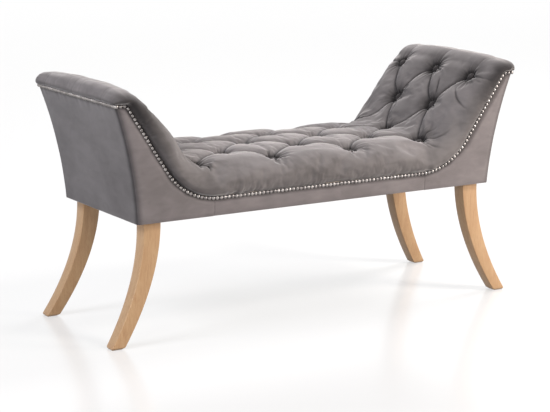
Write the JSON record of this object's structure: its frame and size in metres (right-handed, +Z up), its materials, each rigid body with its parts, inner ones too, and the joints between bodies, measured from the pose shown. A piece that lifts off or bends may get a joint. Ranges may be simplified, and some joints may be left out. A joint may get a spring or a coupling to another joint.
{
  "type": "upholstered bench",
  "caption": "Long low bench with two outward-flared arms, a deep-buttoned velvet cover, nail-trimmed plain borders and splayed sabre legs.",
  "frame": {"origin": "on the floor, at the middle of the bench", "axes": "+X along the length to the right end as seen from the front, +Z up, the front faces -Y"},
  "size_m": [1.2038, 0.4684, 0.6456],
  "materials": {
    "velvet": "warm grey short-pile velvet with a soft sheen",
    "dust_cloth": "black non-woven cloth, matt",
    "oak": "light natural oak, satin lacquer",
    "pine": "planed softwood, unfinished",
    "plywood": "sawn plywood, unfinished",
    "webbing": "woven webbing",
    "foam": "open-cell foam",
    "zinc_steel": "bright zinc",
    "nickel": "polished nickel"
  },
  "bodies": {
    "root": {"front_rail_board": "plywood", "rear_rail_board": "plywood", "front_left_cheek_board": "plywood", "front_right_cheek_board": "plywood", "rear_left_cheek_board": "plywood", "rear_right_cheek_board": "plywood", "front_batten": "pine", "rear_batten": "pine", "left_end_rail": "pine", "right_end_rail": "pine", "left_arm_top_rail": "pine", "right_arm_top_rail": "pine", "left_arm_tack_rail": "pine", "right_arm_tack_rail": "pine", "seat_cross_rails": "pine", "corner_blocks": "pine", "left_end_board": "plywood", "right_end_board": "plywood", "seat_webbing": "webbing", "left_arm_webbing": "webbing", "right_arm_webbing": "webbing", "seat_foam": "foam", "left_arm_foam": "foam", "right_arm_foam": "foam", "seat_cover": "velvet", "left_arm_cover": "velvet", "right_arm_cover": "velvet", "front_rail_cover": "velvet", "rear_rail_cover": "velvet", "front_left_cheek_cover": "velvet", "front_right_cheek_cover": "velvet", "rear_left_cheek_cover": "velvet", "rear_right_cheek_cover": "velvet", "left_end_cover": "velvet", "right_end_cover": "velvet", "dust_cover": "dust_cloth", "front_left_leg": "oak", "front_right_leg": "oak", "rear_left_leg": "oak", "rear_right_leg": "oak", "leg_bolts": "zinc_steel", "leg_nuts": "zinc_steel", "seat_buttons": "velvet", "left_arm_buttons": "velvet", "right_arm_buttons": "velvet", "front_nails": "nickel", "rear_nails": "nickel", "left_end_nails": "nickel", "right_end_nails": "nickel"}
  },
  "joints": []
}
